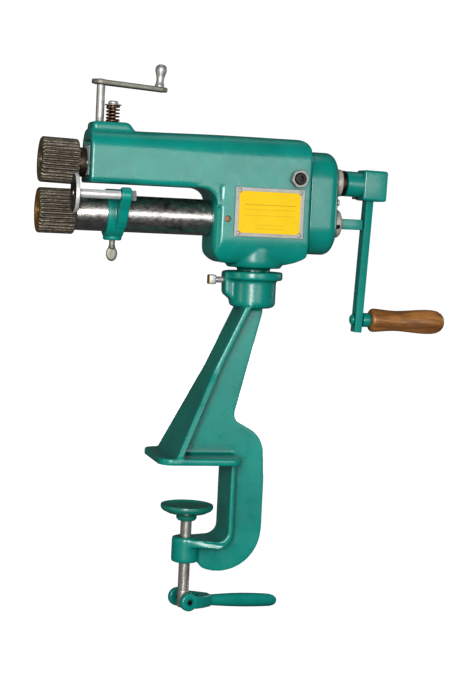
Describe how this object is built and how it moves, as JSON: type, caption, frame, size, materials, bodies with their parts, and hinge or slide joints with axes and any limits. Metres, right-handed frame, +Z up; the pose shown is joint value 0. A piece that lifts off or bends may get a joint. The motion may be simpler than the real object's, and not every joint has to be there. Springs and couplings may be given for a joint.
{
  "type": "bench rotary machine",
  "caption": "Hand-cranked bench rotary machine for beading and crimping sheet metal: paired ribbed rolls on geared shafts, a sliding work gauge and a swivelling C-clamp stand.",
  "frame": {"origin": "where the clamp screw's axis meets the underside of the foot plate, which rests on the bench top", "axes": "+Z up, -X towards the rolls, +X towards the crank, -Y towards the side with the name plate and the gauge"},
  "size_m": [0.4249, 0.1019, 0.5443],
  "materials": {
    "enamel": "gloss teal-green enamel over cast iron",
    "polished_steel": "ground and polished, lightly oiled",
    "roll_steel": "hardened, dark oiled",
    "roll_screw_steel": "satin, oily",
    "blackened_steel": "black oxide",
    "collar_steel": "satin turned",
    "gear_steel": "machined and greased",
    "bronze": "turned bronze",
    "zinc_plate": "bright zinc plated",
    "spring_steel": "oil tempered",
    "plate_yellow": "yellow plate with a bright border, no lettering",
    "turned_wood": "turned and varnished"
  },
  "bodies": {
    "stand": {"stand_casting": "enamel"},
    "lock_bolt": {"head_lock_bolt": "zinc_plate"},
    "clamp_pad": {"clamp_pad": "enamel"},
    "clamp_screw": {"clamp_screw": "polished_steel", "handle_pin": "polished_steel"},
    "clamp_handle": {"clamp_handle": "enamel"},
    "head": {"head_casting": "enamel", "gear_case_cover": "enamel", "cover_screw_1": "blackened_steel", "cover_screw_2": "blackened_steel", "lower_sleeve": "polished_steel", "sleeve_bush": "bronze", "case_bush": "bronze", "sleeve_set_screw": "enamel", "name_plate": "plate_yellow", "plate_rivet_1": "zinc_plate", "plate_rivet_2": "zinc_plate", "plate_rivet_3": "zinc_plate", "plate_rivet_4": "zinc_plate", "trunnion_screw_front": "blackened_steel", "trunnion_screw_rear": "blackened_steel", "trunnion_nut_front": "zinc_plate", "trunnion_nut_rear": "zinc_plate", "lift_spring": "spring_steel"},
    "front_block": {"front_bearing_block": "blackened_steel", "front_bush": "bronze", "lift_bolt": "spring_steel", "lift_washer": "spring_steel"},
    "adjusting_screw": {"adjusting_screw": "zinc_plate", "screw_crank_arm": "zinc_plate", "screw_knob": "zinc_plate"},
    "tilt_block": {"trunnion_block": "blackened_steel", "rear_bush": "bronze"},
    "upper_shaft": {"upper_shaft": "polished_steel", "upper_gear": "gear_steel", "upper_roll": "roll_steel", "upper_roll_screw": "roll_screw_steel", "thrust_washer": "roll_screw_steel", "upper_collar": "collar_steel", "upper_collar_screw": "blackened_steel", "spacer_ring": "blackened_steel", "crank_arm": "enamel", "hub_set_screw": "blackened_steel", "handle_spindle": "polished_steel", "spindle_collar": "enamel"},
    "grip": {"handle_grip": "turned_wood"},
    "lower_shaft": {"lower_shaft": "polished_steel", "lower_gear": "gear_steel", "lower_roll": "roll_steel", "lower_roll_screw": "roll_screw_steel", "lower_collar": "collar_steel", "lower_collar_screw": "blackened_steel", "adjusting_square": "enamel"},
    "gauge": {"gauge_bracket": "enamel", "gauge_rod": "polished_steel", "gauge_disc": "polished_steel", "gauge_rod_nut": "zinc_plate"},
    "gauge_screw": {"gauge_thumb_screw": "zinc_plate"}
  },
  "joints": [
    {"name": "lock_bolt_turn", "type": "hinge", "parent": "stand", "child": "lock_bolt", "pos_m": [0.02, 0, 0.1804], "axis": [1, 0, 0], "range_deg": [0, 270]},
    {"name": "clamp_pad_slide", "type": "slide", "parent": "stand", "child": "clamp_pad", "axis": [0, 0, 1], "range_m": [-0.015, 0.02]},
    {"name": "clamp_screw_turn", "type": "hinge", "parent": "clamp_pad", "child": "clamp_screw", "pos_m": [0, 0, -0.1], "axis": [0, 0, 1], "range_deg": [-2702, 3602]},
    {"name": "clamp_handle_fold", "type": "hinge", "parent": "clamp_screw", "child": "clamp_handle", "pos_m": [0, 0, -0.1423], "axis": [-0.2419, 0.9703, 0], "range_deg": [-15, 85]},
    {"name": "head_swivel", "type": "hinge", "parent": "stand", "child": "head", "pos_m": [0.057, 0, 0.19], "axis": [0, 0, 1], "continuous": true},
    {"name": "front_block_slide", "type": "slide", "parent": "head", "child": "front_block", "axis": [0, 0, -1], "range_m": [0, 0.004], "deforming": ["lift_spring"]},
    {"name": "adjusting_screw_turn", "type": "hinge", "parent": "front_block", "child": "adjusting_screw", "pos_m": [-0.1043, 0, 0.33], "axis": [0, 0, 1], "range_deg": [0, 962]},
    {"name": "upper_tilt", "type": "hinge", "parent": "head", "child": "tilt_block", "pos_m": [0.0907, 0, 0.2832], "axis": [0, -1, 0], "range_deg": [0, 1.24]},
    {"name": "upper_shaft_spin", "type": "hinge", "parent": "tilt_block", "child": "upper_shaft", "pos_m": [0.0907, 0, 0.2832], "axis": [0.9997, 0, -0.0262], "continuous": true},
    {"name": "grip_spin", "type": "hinge", "parent": "upper_shaft", "child": "grip", "pos_m": [0.2255, 0, 0.1447], "axis": [1, 0, 0], "continuous": true},
    {"name": "lower_shaft_spin", "type": "hinge", "parent": "head", "child": "lower_shaft", "pos_m": [0, 0, 0.241], "axis": [1, 0, 0], "continuous": true},
    {"name": "gauge_slide", "type": "slide", "parent": "head", "child": "gauge", "axis": [1, 0, 0], "range_m": [-0.018, 0.01]},
    {"name": "gauge_screw_turn", "type": "hinge", "parent": "gauge", "child": "gauge_screw", "pos_m": [-0.0872, 0, 0.21], "axis": [0, 0, 1], "range_deg": [0, 180]}
  ],
  "couplings": [
    {"joint": "clamp_screw_turn", "follows": "clamp_pad_slide", "rad_per_m": 3141.6},
    {"joint": "adjusting_screw_turn", "follows": "front_block_slide", "rad_per_m": 4188.8},
    {"joint": "upper_tilt", "follows": "front_block_slide", "rad_per_m": 5.2466},
    {"joint": "lower_shaft_spin", "follows": "upper_shaft_spin", "ratio": -1}
  ]
}
